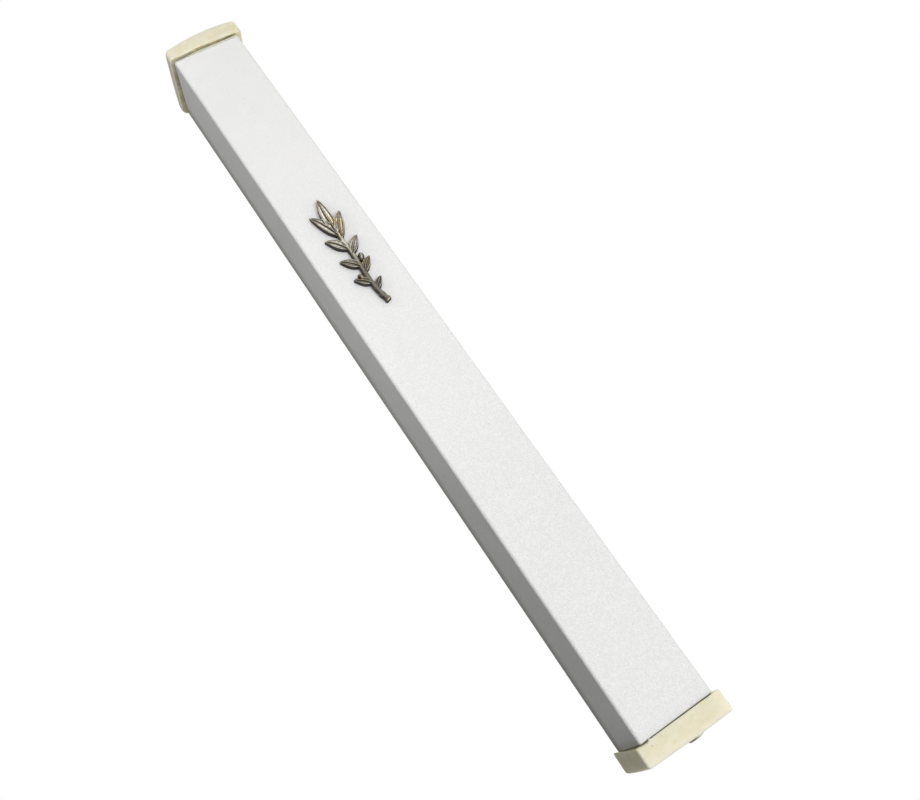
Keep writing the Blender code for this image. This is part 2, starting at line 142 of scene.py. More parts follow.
CURL_BACK = (8.0 * MM, -8.0 * MM)
NIB_RADIUS = 1.82 * MM
NIB_HEIGHT = 0.57 * MM
NIB_SUNK = 0.02 * MM
NIB_ROOT = 1.2 * MM
NIB_PLACE = Vector((2.0 * MM, -5.1 * MM))
NIB_LEVELS = 12
NIB_STEPS = 48
FLASH_X = -6.2 * MM
FLASH_OFF_TUBE = 0.36 * MM
FLASH_ABOVE_END = 0.20 * MM
FLASH_HALF_WIDTH = 0.26 * MM
FLASH_HALF_DEPTH = 0.27 * MM
FLASH_HALF_HEIGHT = 0.34 * MM
FLASH_TILT = 0.05 * MM

# A plug: its node, 1 at the top or -1 at the bottom, half its width and depth, its shift to the right and
# to the back, its twist in degrees, the height of its crest and of its inner face above the tube's end,
# its corner, back corner, outer edge and inner edge radii, the crest's x and y, the two bows (per metre),
# whether it has a lip, the painted shadow on its nib, and the seed of its uneven skin.
PlugShape = namedtuple(
    "PlugShape",
    "node side half_x half_y shift_x shift_y twist height foot corner back_corner round inner_round"
    " crest_x crest_y bow_x bow_y lip nib_grime seed",
)
UPPER_PLUG = PlugShape(
    node="upper_plug",
    side=1,
    half_x=9.05 * MM,
    half_y=9.15 * MM,
    shift_x=-0.02 * MM,
    shift_y=-0.20 * MM,
    twist=1.6,
    height=5.10 * MM,
    foot=GROOVE_TOP,
    corner=1.0 * MM,
    back_corner=2.2 * MM,
    round=0.9 * MM,
    inner_round=0.40 * MM,
    crest_x=3.5 * MM,
    crest_y=-4.0 * MM,
    bow_x=12.2,
    bow_y=4.0,
    lip=True,
    nib_grime=0.3,
    seed=3.1,
)
LOWER_PLUG = PlugShape(
    node="lower_plug",
    side=-1,
    half_x=9.1 * MM,
    half_y=9.175 * MM,
    shift_x=0.03 * MM,
    shift_y=-0.175 * MM,
    twist=0.8,
    height=4.37 * MM,
    foot=LOWER_FOOT,
    corner=0.45 * MM,
    back_corner=0.45 * MM,
    round=0.7 * MM,
    inner_round=0.15 * MM,
    crest_x=7.5 * MM,
    crest_y=0.0,
    bow_x=1.0,
    bow_y=1.0,
    lip=False,
    # The lower nib is painted near-black: a painted shadow on its side.
    nib_grime=1.6,
    seed=8.7,
)

# ---------------- emblem, in millimetres from its centre
EMBLEM_CENTRE_Z = 22.8
EMBLEM_BASE_GAP = 0.04
EMBLEM_VOXEL = 0.06
STEM_POINTS = (
    Vector((0.95, -14.2)),
    Vector((0.45, -12.6)),
    Vector((0.12, -10.6)),
    Vector((-0.08, -7.0)),
    Vector((0.08, -2.0)),
    Vector((-0.04, 2.5)),
    Vector((0.05, 6.5)),
)
STEM_FOOT_WIDTH = 1.25
STEM_TIP_WIDTH = 0.85
STEM_HEIGHT = 1.22
STEM_STEPS = 90
STEM_CROSS_STEPS = 12

Leaf = namedtuple("Leaf", "x z lean length width bend")
LEAVES = (
    Leaf(0.00, 4.6, -2, 9.7, 2.5, 10),
    Leaf(-0.10, 4.0, -14, 7.6, 2.2, -20),
    Leaf(0.15, 3.2, 14, 7.2, 2.2, 24),
    Leaf(-0.10, 0.2, -26, 5.3, 2.0, -26),
    Leaf(0.10, -1.2, 28, 5.0, 2.0, 26),
    Leaf(-0.05, -4.6, -33, 4.5, 1.8, -26),
    Leaf(0.05, -6.2, 31, 4.2, 1.7, 26),
    Leaf(-0.05, -9.2, -36, 3.9, 1.6, -26),
    Leaf(0.10, -10.9, 32, 3.4, 1.5, 26),
)
LEAF_CUP = 1.02
LEAF_RIM = 1.20
LEAF_RIB = 1.36
LEAF_EDGE = 0.92
LEAF_VEIN = 0.008
LEAF_STALK_HALF = 0.26
LEAF_LEAST_HALF = 0.05
LEAF_STEPS = 44
LEAF_CROSS_STEPS = 24
Olive = namedtuple("Olive", "x z length width lean")
OLIVES = (
    Olive(1.25, -2.6, 1.9, 1.4, 20),
    Olive(-1.25, -6.9, 1.8, 1.3, -20),
)
OLIVE_HEIGHT = 1.5
OLIVE_STEPS = 32
GLUE_HALF_WIDTH = 0.42
GLUE_LOW = 0.004
GLUE_HIGH = 0.034
GLUE_STEPS = 120
CONVEX_SPAN = 0.10 * MM

# ---------------- mounting tape
LINER_THICKNESS = 0.08 * MM
LINER_GAP = 0.01 * MM
TAPE_CORNER = 0.6 * MM
TAPE_EDGE_WANDER = 0.06 * MM
TAPE_EDGE_WAVE = 2.5 * MM

# ---------------- scroll and sleeve
SCROLL_CORE = 1.9 * MM
SCROLL_RADIUS = 5.5 * MM
SCROLL_RIPPLE = 0.05 * MM
SCROLL_TRIM = 0.25 * MM
PARCHMENT_THICKNESS = 0.25 * MM
PARCHMENT_PITCH = 0.56 * MM
SCROLL_STEPS_PER_TURN = 56
SCROLL_ROWS = 36
SLEEVE_WALL = 0.2 * MM
SLEEVE_RUMPLE = 0.07 * MM
SLEEVE_ROWS = 90
SLEEVE_STEPS = 96


# ---------------- small helpers
def shade(mesh, sharp_angle=40):
    """Shades a mesh smooth, except across edges that turn by more than sharp_angle degrees."""
    mesh.shade_smooth()
    mesh.set_sharp_from_angle(angle=math.radians(sharp_angle))


def link_object(name, data):
    made = bpy.data.objects.new(name, data)
    bpy.context.scene.collection.objects.link(made)
    return made


def object_from_bmesh(name, mesh_data, sharp_angle=40):
    """Turns mesh_data into an object with outward normals; mesh_data is used up."""
    bmesh.ops.recalc_face_normals(mesh_data, faces=mesh_data.faces)
    mesh = bpy.data.meshes.new(name)
    mesh_data.to_mesh(mesh)
    mesh_data.free()
    shade(mesh, sharp_angle)
    return link_object(name, mesh)


def apply_modifiers(made):
    """Keeps the shape that the object's modifiers give, and drops the modifiers."""
    graph = bpy.context.evaluated_depsgraph_get()
    mesh = bpy.data.meshes.new_from_object(made.evaluated_get(graph))
    made.modifiers.clear()
    made.data = mesh


def place_piece(piece, body, slot, material, *nodes):
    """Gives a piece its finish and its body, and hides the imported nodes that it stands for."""
    piece.data.materials.clear()
    piece.data.materials.append(material)
    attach(piece, body)
    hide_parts(*nodes)


def smooth_step(low, high, value):
    """0 at low and 1 at high, along a soft step; low may be the larger of the two."""
    share = min(max((value - low) / (high - low), 0.0), 1.0)
    return share * share * (3 - 2 * share)


def rounded_rectangle(half_x, half_y, radius, corner_steps=10, side_steps=18, back_radius=None):
    """Counter-clockwise outline of four corner arcs and four divided sides, as (x, y) vectors.

    The two corners at +y take back_radius where one is given.
    """
    back_radius = back_radius or radius
    radii = (back_radius, back_radius, radius, radius)
    outline = []
    for quarter in range(4):
        swap = quarter % 2
        reach_x = half_y if swap else half_x
        reach_y = half_x if swap else half_y
        arc = radii[quarter]
        points = []
        for step in range(corner_steps + 1):
            angle = math.pi / 2 * step / corner_steps
            x = reach_x - arc * (1 - math.cos(angle))
            points.append(Vector((x, reach_y - arc * (1 - math.sin(angle)))))
        last = Vector((radii[(quarter + 1) % 4] - reach_x, reach_y))
        for step in range(1, side_steps):
            points.append(points[corner_steps].lerp(last, step / side_steps))
        turn = Matrix.Rotation(math.pi / 2 * quarter, 2)
        outline.extend(turn @ point for point in points)
    return outline


def bridge(mesh_data, rings, closed=False):
    """Quads between neighbouring rings of equal length; closed joins the last ring to the first too."""
    pairs = list(zip(rings, rings[1:]))
    if closed:
        pairs.append((rings[-1], rings[0]))
    for first, second in pairs:
        count = len(first)
        for index in range(count):
            following = (index + 1) % count
            mesh_data.faces.new((first[index], first[following], second[following], second[index]))


def cap_ends(mesh_data, rings):
    """One face over the first ring and one over the last."""
    mesh_data.faces.new(rings[0])
    mesh_data.faces.new(rings[-1])


def fill_strip(mesh_data, ring):
    """Quads across a long thin ring, which runs up one side and back down the other."""
    last = len(ring) - 1
    for step in range(len(ring) // 2 - 1):
        mesh_data.faces.new((ring[step], ring[step + 1], ring[last - step - 1], ring[last - step]))


def surface_noise(place, feature, seed):
    """Smooth noise from -1 to 1 with bumps about as wide as feature."""
    return noise.noise(place / feature + Vector((seed, seed * 0.37, -seed * 0.71)))


# ---------------- shader helpers
def new_material(name):
    material = bpy.data.materials.new(name)
    material.use_nodes = True
    shader = material.node_tree.nodes["Principled BSDF"]
    return material, material.node_tree, shader


def set_inputs(tree, node, values):
    """Sets each named or numbered input to a value, or links it where the value is a socket."""
    for key, value in values.items():
        socket = node.inputs[key]
        if isinstance(value, bpy.types.NodeSocket):
            tree.links.new(value, socket)
        else:
            socket.default_value = value


def add_node(tree, kind, values, **settings):
    node = tree.nodes.new(kind)
    for key, value in settings.items():
        setattr(node, key, value)
    set_inputs(tree, node, values)
    return node


def colour(red, green, blue):
    return (red, green, blue, 1.0)


def place_in(tree, stretch=(1.0, 1.0, 1.0)):
    """The point being shaded, in the object's own frame, with its axes scaled by stretch."""
    source = tree.nodes.new("ShaderNodeTexCoord").outputs["Object"]
    return add_node(tree, "ShaderNodeMapping", {"Vector": source, "Scale": stretch}).outputs["Vector"]


def noise_value(tree, place, feature, detail=2.0, roughness=0.5, distortion=0.0):
    """Noise from 0 to 1 with bumps about as wide as feature, in metres."""
    values = {
        "Vector": place,
        "Scale": 1 / feature,
        "Detail": detail,
        "Roughness": roughness,
        "Distortion": distortion,
    }
    return add_node(tree, "ShaderNodeTexNoise", values).outputs["Fac"]


def cell_distance(tree, place, feature):
    """Distance to the nearest point of a random lattice, in units of its pitch."""
    values = {"Vector": place, "Scale": 1 / feature}
    return add_node(tree, "ShaderNodeTexVoronoi", values).outputs["Distance"]


def remap(tree, value, low, high, start=0.0, end=1.0):
    """Takes value from low..high to start..end along a soft step."""
    values = {"Value": value, "From Min": low, "From Max": high, "To Min": start, "To Max": end}
    return add_node(tree, "ShaderNodeMapRange", values, interpolation_type="SMOOTHSTEP").outputs["Result"]


def calculate(tree, operation, first, second=0.0, third=0.0):
    node = add_node(tree, "ShaderNodeMath", {0: first, 1: second, 2: third}, operation=operation)
    return node.outputs["Value"]


def mix_colours(tree, share, first, second):
    return add_node(tree, "ShaderNodeMix", {0: share, 6: first, 7: second}, data_type="RGBA").outputs[2]


def add_bump(tree, height, depth, strength=1.0, under=None):
    """A bump whose height runs over depth metres, laid over another bump's normal if one is given."""
    values = {"Height": height, "Distance": depth, "Strength": strength}
    if under is not None:
        values["Normal"] = under
    return add_node(tree, "ShaderNodeBump", values).outputs["Normal"]


def attribute(tree, name):
    return add_node(tree, "ShaderNodeAttribute", {}, attribute_name=name).outputs["Fac"]


# ---------------- materials
def powder_coat():
    """White powder coat: leathery grain, coarser low down, rare specks, and painted shade darkening the
    left face towards its back edge.
    """
    material, tree, shader = new_material("white_powder_coat")
    place = place_in(tree)
    parts = add_node(tree, "ShaderNodeSeparateXYZ", {"Vector": place}).outputs
    coarser_down = remap(tree, parts["Z"], 0.06, -0.05, 0.25, 1.0)
    peel = noise_value(tree, place, 0.9 * MM, detail=3.0)
    grain = noise_value(tree, place, 0.27 * MM, detail=2.0, roughness=0.6)
    pits = cell_distance(tree, place, 0.50 * MM)
    patches = noise_value(tree, place, 14 * MM, detail=3.0)

    share = remap(tree, patches, 0.3, 0.7)
    base = mix_colours(tree, share, colour(0.87, 0.87, 0.87), colour(0.89, 0.885, 0.89))
    mottle = calculate(tree, "MULTIPLY", remap(tree, grain, 0.68, 0.32), coarser_down)
    base = mix_colours(tree, calculate(tree, "MULTIPLY", mottle, 0.50), base, colour(0.66, 0.66, 0.67))
    tints = noise_value(tree, place, 0.5 * MM, detail=1.0)
    tinting = calculate(tree, "MULTIPLY", remap(tree, tints, 0.45, 0.65), coarser_down)
    base = mix_colours(tree, calculate(tree, "MULTIPLY", tinting, 0.25), base, colour(0.80, 0.82, 0.88))
    speck_cells = cell_distance(tree, place, 5.5 * MM)
    ragged = calculate(tree, "MULTIPLY_ADD", grain, 0.03, speck_cells)
    specks = calculate(tree, "MULTIPLY", remap(tree, ragged, 0.052, 0.034), coarser_down)
    base = mix_colours(tree, calculate(tree, "MULTIPLY", specks, 0.6), base, colour(0.30, 0.27, 0.25))
    # Painted shade: the left face turns darker grey towards its back edge.
    back_edge = TUBE_HIGH.y - BACK_SHADE_WIDTH
    back_shade = remap(tree, parts["Y"], back_edge, TUBE_HIGH.y, 0.0, 0.93)
    on_left = remap(tree, parts["X"], TUBE_LOW.x + 0.5 * MM, TUBE_LOW.x + 0.1 * MM)
    back_shade = calculate(tree, "MULTIPLY", back_shade, on_left)
    base = mix_colours(tree, back_shade, base, colour(0.42, 0.42, 0.40))

    relief = calculate(tree, "MULTIPLY_ADD", pits, 0.35, grain)
    normal = add_bump(tree, peel, 0.06 * MM, 0.6)
    normal = add_bump(tree, relief, 0.07 * MM, 0.9, under=normal)
    roughness = remap(tree, grain, 0.3, 0.7, 0.42, 0.56)
    set_inputs(tree, shader, {"Base Color": base, "Roughness": roughness, "Normal": normal})
    return material


def cream_rubber():
    """Cream moulded rubber: cloudy colour, paler edges (abrasion plus painted highlight), dark specks,
    soiling plus painted shade in the seams, and a painted shadow on the lower nib.
    """
    material, tree, shader = new_material("cream_rubber")
    place = place_in(tree)
    clouds = noise_value(tree, place, 3.2 * MM, detail=4.0, roughness=0.62)
    streaks = noise_value(tree, place_in(tree, (0.45, 1.0, 1.0)), 1.1 * MM, detail=3.0, distortion=0.6)
    skin = noise_value(tree, place, 0.35 * MM, detail=3.0, roughness=0.6)
    wear_and_light = attribute(tree, "wear_and_light")
    grime = attribute(tree, "grime")
    across = add_node(tree, "ShaderNodeSeparateXYZ", {"Vector": place}).outputs["X"]

    cloudy = remap(tree, clouds, 0.35, 0.65)
    base = mix_colours(tree, cloudy, colour(0.80, 0.75, 0.56), colour(0.85, 0.81, 0.66))
    patches = remap(tree, streaks, 0.55, 0.75, 0.0, 0.55)
    base = mix_colours(tree, patches, base, colour(0.74, 0.70, 0.42))
    # Paler edges and left end: abrasion plus painted highlight.
    paler = calculate(tree, "MULTIPLY", wear_and_light, remap(tree, streaks, 0.25, 0.6, 0.5, 1.0))
    base = mix_colours(tree, paler, base, colour(0.87, 0.81, 0.71))
    dirt_cells = cell_distance(tree, place, 2.3 * MM)
    ragged = calculate(tree, "MULTIPLY_ADD", skin, 0.05, dirt_cells)
    base = mix_colours(tree, remap(tree, ragged, 0.085, 0.055, 0.0, 0.8), base, colour(0.30, 0.24, 0.13))
    # Seams darkened towards olive: soiling plus painted shade where flange meets tube, more towards the
    # right.
    more_right = remap(tree, across, -7 * MM, 3 * MM, 0.7, 0.95)
    not_end = remap(tree, across, 8.2 * MM, 7.4 * MM, 0.15, 1.0)
    seam = calculate(tree, "MULTIPLY", remap(tree, grime, 0.1, 0.8), more_right)
    seam = calculate(tree, "MULTIPLY", seam, not_end)
    seam = calculate(tree, "MULTIPLY", seam, remap(tree, streaks, 0.3, 0.55, 0.7, 1.0))
    thick = remap(tree, clouds, 0.40, 0.58)
    soil_and_shade_colour = mix_colours(tree, thick, colour(0.47, 0.44, 0.24), colour(0.25, 0.23, 0.11))
    # Near-black above 1.1: the painted shadow on the lower nib's side.
    soil_and_shade_colour = mix_colours(tree, remap(tree, grime, 1.1, 1.5), soil_and_shade_colour, colour(0.085, 0.082, 0.066))
    base = mix_colours(tree, seam, base, soil_and_shade_colour)

    normal = add_bump(tree, clouds, 0.10 * MM, 0.5)
    normal = add_bump(tree, skin, 0.03 * MM, 0.5, under=normal)
    values = {
        "Base Color": base,
        "Roughness": remap(tree, skin, 0.3, 0.7, 0.48, 0.68),
        "Normal": normal,
        "Subsurface Weight": 0.8,
        "Subsurface Radius": (1.0, 0.8, 0.5),
        "Subsurface Scale": 2.2 * MM,
    }
    set_inputs(tree, shader, values)
    return material


def antique_bronze():
    """Cast metal with dark patina in its hollows and on its sides, pale abraded tops and rims, and a
    painted highlight that makes the upper part paler.
    """
    material, tree, shader = new_material("antique_bronze")
    place = place_in(tree)
    height = add_node(tree, "ShaderNodeSeparateXYZ", {"Vector": place}).outputs["Z"]
    brushed = noise_value(tree, place_in(tree, (1.0, 1.0, 0.16)), 0.11 * MM, detail=3.0, roughness=0.6)
    blotches = noise_value(tree, place, 1.3 * MM, detail=4.0, roughness=0.6)
    tints = noise_value(tree, place, 2.6 * MM, detail=2.0)
    facing = attribute(tree, "facing")
    convex = attribute(tree, "convex")

    # Painted highlight: front-facing tops are paler the higher they are.
    low = (EMBLEM_LOW.z + EMBLEM_HIGH.z) / 2 - 7 * MM
    upper_highlight = remap(tree, height, low, low + 12 * MM, 0.28, 0.95)
    top = calculate(tree, "MULTIPLY", remap(tree, facing, 0.55, 0.97), upper_highlight)
    noisy = calculate(tree, "MULTIPLY_ADD", brushed, 0.25, -0.42)
    noisy = calculate(tree, "MULTIPLY_ADD", blotches, 0.6, noisy)
    worn_and_highlight = calculate(tree, "ADD", top, calculate(tree, "MULTIPLY", noisy, top))
    edge = calculate(tree, "MULTIPLY", remap(tree, convex, 0.55, 0.85), remap(tree, facing, 0.1, 0.6))
    worn_and_highlight = calculate(tree, "MAXIMUM", worn_and_highlight, calculate(tree, "MULTIPLY", edge, 0.9))
    hollow = remap(tree, convex, 0.38, 0.18, 0.0, 0.6)
    worn_and_highlight = calculate(tree, "MULTIPLY", worn_and_highlight, calculate(tree, "SUBTRACT", 1.0, hollow))

    yellower = remap(tree, tints, 0.45, 0.65)
    pale = mix_colours(tree, yellower, colour(0.84, 0.79, 0.68), colour(0.78, 0.66, 0.42))
    base = mix_colours(tree, worn_and_highlight, colour(0.055, 0.047, 0.042), pale)
    normal = add_bump(tree, blotches, 0.05 * MM, 0.5)
    normal = add_bump(tree, brushed, 0.012 * MM, 0.7, under=normal)
    values = {
        "Base Color": base,
        "Metallic": 1.0,
        "Roughness": remap(tree, worn_and_highlight, 0.0, 1.0, 0.5, 0.33),
        "Normal": normal,
    }
    set_inputs(tree, shader, values)
    return material


def clear_glue():
    """Dried contact glue, slightly yellow and glossy."""
    material, tree, shader = new_material("clear_glue")
    place = place_in(tree)
    lumps = noise_value(tree, place, 0.8 * MM, detail=3.0)
    base = mix_colours(tree, lumps, colour(0.74, 0.70, 0.58), colour(0.80, 0.78, 0.70))
    normal = add_bump(tree, lumps, 0.06 * MM, 0.6)
    set_inputs(tree, shader, {"Base Color": base, "Roughness": 0.28, "Normal": normal})
    return material


def foam():
    """White closed-cell foam: small open cells on the cut sides, painted darker as shade in their pits."""
    material, tree, shader = new_material("foam_tape")
    place = place_in(tree)
    cells = cell_distance(tree, place, 0.22 * MM)
    large_cells = cell_distance(tree, place, 0.5 * MM)
    # Painted shade: the open cells are darker.
    shade = remap(tree, cells, 0.1, 0.5)
    base = mix_colours(tree, shade, colour(0.62, 0.62, 0.60), colour(0.84, 0.84, 0.82))
    normal = add_bump(tree, cells, 0.10 * MM, 0.7)
    normal = add_bump(tree, large_cells, 0.12 * MM, 0.4, under=normal)
    set_inputs(tree, shader, {"Base Color": base, "Roughness": 0.85, "Normal": normal})
    return material


def liner_paper():
    """Waxed release paper: faint fibres, soft creases and a silky gloss."""
    material, tree, shader = new_material("liner_paper")
    fibres = noise_value(tree, place_in(tree, (1.0, 1.0, 0.12)), 0.25 * MM, detail=4.0, roughness=0.65)
    waves = noise_value(tree, place_in(tree), 9 * MM, detail=2.0)
    fibrous = remap(tree, fibres, 0.3, 0.7)
    base = mix_colours(tree, fibrous, colour(0.70, 0.72, 0.70), colour(0.80, 0.81, 0.79))
    normal = add_bump(tree, waves, 0.25 * MM, 0.4)
    normal = add_bump(tree, fibres, 0.015 * MM, 0.6, under=normal)
    roughness = remap(tree, fibres, 0.3, 0.7, 0.30, 0.42)
    set_inputs(tree, shader, {"Base Color": base, "Roughness": roughness, "Normal": normal})
    return material


def parchment():
    """Blank goatskin parchment: warm mottling, hair pores and faint fibres."""
    material, tree, shader = new_material("parchment")
    place = place_in(tree)
    mottle = noise_value(tree, place, 7 * MM, detail=5.0, roughness=0.6)
    fibres = noise_value(tree, place_in(tree, (1.0, 1.0, 0.3)), 0.4 * MM, detail=4.0, roughness=0.65)
    pores = cell_distance(tree, place, 1.3 * MM)
    mottled = remap(tree, mottle, 0.3, 0.7)
    base = mix_colours(tree, mottled, colour(0.70, 0.56, 0.36), colour(0.84, 0.74, 0.54))
    base = mix_colours(tree, remap(tree, pores, 0.12, 0.05, 0.0, 0.35), base, colour(0.42, 0.29, 0.15))
    base = mix_colours(tree, remap(tree, fibres, 0.62, 0.8, 0.0, 0.3), base, colour(0.90, 0.83, 0.68))
    normal = add_bump(tree, fibres, 0.03 * MM, 0.6)
    values = {
        "Base Color": base,
        "Roughness": remap(tree, mottle, 0.3, 0.7, 0.5, 0.68),
        "Normal": normal,
        "Subsurface Weight": 0.1,
        "Subsurface Scale": 0.5 * MM,
    }
    set_inputs(tree, shader, values)
    return material


def clear_film():
    """Thin clear film, glossy and slightly creased."""
    material, tree, shader = new_material("clear_film")
    creases = noise_value(tree, place_in(tree, (1.0, 1.0, 0.25)), 2.2 * MM, detail=3.0, distortion=0.8)
    normal = add_bump(tree, creases, 0.15 * MM, 0.6)
    values = {
        "Base Color": colour(0.93, 0.95, 0.96),
        "Roughness": remap(tree, creases, 0.3, 0.7, 0.05, 0.14),
        "Alpha": remap(tree, creases, 0.35, 0.75, 0.16, 0.30),
        "Normal": normal,
    }
    set_inputs(tree, shader, values)
    return material


def floor_paper():
    """Matt pale paper."""
    material, tree, shader = new_material("floor_paper")
    tooth = noise_value(tree, place_in(tree), 1.5 * MM, detail=3.0)
    base = mix_colours(tree, tooth, colour(0.84, 0.84, 0.84), colour(0.88, 0.88, 0.88))
    normal = add_bump(tree, tooth, 0.05 * MM, 0.3)
    set_inputs(tree, shader, {"Base Color": base, "Roughness": 0.9, "Normal": normal})
    return material


# ---------------- tube
def finish_tube():
    """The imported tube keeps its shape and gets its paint."""
    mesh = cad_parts["tube_body"].data
    shade(mesh, sharp_angle=35)
    mesh.materials.clear()
    mesh.materials.append(powder_coat())


# ---------------- end plugs
def plug_profile(shape):
    """Rings over the flange, from the middle of its outer face to its inner face.

    Each is (inset, scale, height, drop, paleness, darkening): paleness is abrasion plus painted highlight,
    and darkening is soiling plus painted shade at the inner edge.  Where height is None the ring lies drop
    below the bowed outer face; otherwise it lies the share drop of the way down to height.
    """
    rings = []
    for step in range(1, FACE_RINGS + 1):
        rings.append((shape.round, step / FACE_RINGS, None, 0, 0.3, 0))
    for step in range(1, EDGE_RINGS + 1):
        angle = math.pi / 2 * step / EDGE_RINGS
        inset = shape.round * (1 - math.sin(angle))
        drop = shape.round * (1 - math.cos(angle))
        rings.append((inset, 1, None, drop, 1.0 - 0.7 * step / EDGE_RINGS, 0))
    for step in range(1, SIDE_RINGS + 1):
        rings.append((0, 1, shape.foot + shape.inner_round, step / SIDE_RINGS, 0.0, 0))
    for step in range(1, INNER_RINGS + 1):
        angle = math.pi / 2 * step / INNER_RINGS
        inset = shape.inner_round * (1 - math.cos(angle))
        height = shape.foot + shape.inner_round * (1 - math.sin(angle))
        rings.append((inset, 1, height, 1, 0.0, (step / INNER_RINGS) ** 2))
    return rings


def flange_outline(shape, inset, scale):
    """The flange's twisted outline, drawn in by inset and then shrunk by scale."""
    corner = max(shape.corner - inset, FLANGE_LEAST_CORNER) * scale
    back_corner = max(shape.back_corner - inset, FLANGE_LEAST_CORNER) * scale
    half_x = (shape.half_x - inset) * scale
    half_y = (shape.half_y - inset) * scale
    outline = rounded_rectangle(half_x, half_y, corner, back_radius=back_corner)
    twist = Matrix.Rotation(math.radians(shape.twist), 2)
    middle = Vector((shape.shift_x, shape.shift_y * shape.side))
    return [twist @ point + middle for point in outline]


def lip_profile():
    """Rings of the groove and the sealing lip between flange and tube: (inset, height, darkening); the
    groove's darkening is soiling plus painted shade.
    """
    return (
        (GROOVE_DEPTH, GROOVE_TOP, 1.0),
        (GROOVE_DEPTH, LIP_TOP, 1.0),
        (LIP_ROUND, LIP_TOP, 0.4),
        (0, LIP_TOP - LIP_ROUND, 0.0),
        (0, (LIP_TOP + LIP_FOOT) / 2, 0.0),
        (0, LIP_FOOT + LIP_ROUND / 2, 0.0),
        (LIP_ROUND / 2, LIP_FOOT, 0.0),
    )


def lip_outline(inset):
    """The lip's own outline, just inside the tube's and a little further in at its left."""
    half_x = HALF_WIDTH + (LIP_REACH + LIP_LEFT_REACH) / 2 - inset
    half_y = HALF_DEPTH + LIP_REACH - inset
    middle = Vector(((LIP_REACH - LIP_LEFT_REACH) / 2, 0))
    return [point + middle for point in rounded_rectangle(half_x, half_y, TUBE_CORNER)]


def spigot_profile(root_height):
    """Rings from the spigot's root to its tip, with ratchet-shaped ribs: (half, height)."""
    core = SPIGOT_CORE_HALF
    stations = [(core, root_height)]
    for rib in range(RIB_COUNT):
        start = RIB_PITCH / 3 + rib * RIB_PITCH
        stations.append((core, -start))
        stations.append((core + RIB_HEIGHT * 0.7, -start - 0.04 * RIB_CREST))
        stations.append((core + RIB_HEIGHT, -start - 0.2 * RIB_CREST))
        stations.append((core + RIB_HEIGHT, -start - RIB_CREST))
        stations.append((core + RIB_HEIGHT * 0.5, -start - (RIB_CREST + RIB_RAMP) / 2))
        stations.append((core, -start - RIB_RAMP))
    stations.append((core, -SPIGOT_LENGTH + SPIGOT_TIP_INSET))
    for step in range(1, 5):
        angle = math.pi / 2 * step / 4
        inset = SPIGOT_TIP_INSET * (1 - math.cos(angle))
        stations.append((core - inset, -SPIGOT_LENGTH + SPIGOT_TIP_INSET * (1 - math.sin(angle))))
    for scale in (0.8, 0.6, 0.4, 0.2, 0.04):
        stations.append((core * scale, -SPIGOT_LENGTH))
    return stations


def outer_face(shape, x, y):
    """Height of the plug's outer face above the tube's end."""
    return shape.height - shape.bow_x * (x - shape.crest_x) ** 2 - shape.bow_y * (y - shape.crest_y) ** 2


def plug_rings(mesh_data, shape):
    """All rings of a plug, outer face first, in the plug's own frame with z away from the tube."""
    wear_and_light = mesh_data.verts.layers.float["wear_and_light"]
    grime_and_shade_layer = mesh_data.verts.layers.float["grime"]
    rings = []

    def add_ring(outline, height, paleness=0.0, grime=0.0):
        ring = []
        for point in outline:
            z = height(point.x, point.y) if callable(height) else height
            vertex = mesh_data.verts.new((point.x, point.y, z))
            vertex[wear_and_light] = paleness
            vertex[grime_and_shade_layer] = grime
            ring.append(vertex)
        rings.append(ring)

    def below_face(drop):
        return lambda x, y: outer_face(shape, x, y) - drop

    def down_side(share, lowest):
        def height(x, y):
            top = outer_face(shape, x, y) - shape.round
            return top + (lowest - top) * share

        return height

    for inset, scale, height, drop, paleness, grime in plug_profile(shape):
        place = below_face(drop) if height is None else down_side(drop, height)
        add_ring(flange_outline(shape, inset, scale), place, paleness, grime)
    if shape.lip:
        for inset, height, grime in lip_profile():
            add_ring(lip_outline(inset), height, 0.2, grime)
    else:
        # The lower plug's seat ring is darkened: painted shade in the gap line, plus soiling.
        seat = rounded_rectangle(HALF_WIDTH + SEAT_REACH, HALF_DEPTH + SEAT_REACH, TUBE_CORNER)
        add_ring(seat, shape.foot, grime=1.0)
    for index, (half, height) in enumerate(spigot_profile(LIP_FOOT if shape.lip else shape.foot)):
        corner = SPIGOT_CORNER * min(1, half / SPIGOT_CORE_HALF)
        outline = rounded_rectangle(half, half + SPIGOT_DEEPER, corner)
        add_ring(outline, height, grime=0.7 if index < 2 else 0.0)
    return rings


def build_plug(shape, material):
    """Moulded plug: flange with a bowed outer face, ribbed spigot, nib, and flash on the lower one."""
    tube_end = TUBE_HIGH.z if shape.side > 0 else TUBE_LOW.z
    mesh_data = bmesh.new()
    mesh_data.verts.layers.float.new("wear_and_light")
    mesh_data.verts.layers.float.new("grime")
    rings = plug_rings(mesh_data, shape)
    bridge(mesh_data, rings)
    cap_ends(mesh_data, rings)
    roughen_plug(mesh_data, shape)
    plug = object_from_bmesh(shape.node + "_rubber", mesh_data)
    add_nib(plug, shape)
    if shape.side < 0:
        add_flash(plug)
    turn = Matrix.Rotation(math.pi, 4, "X") if shape.side < 0 else Matrix.Identity(4)
    move = Matrix.Translation((TUBE_CENTRE.x, TUBE_CENTRE.y, tube_end))
    plug.data.transform(move @ turn)
    place_piece(plug, shape.node, "plug", material, shape.node)


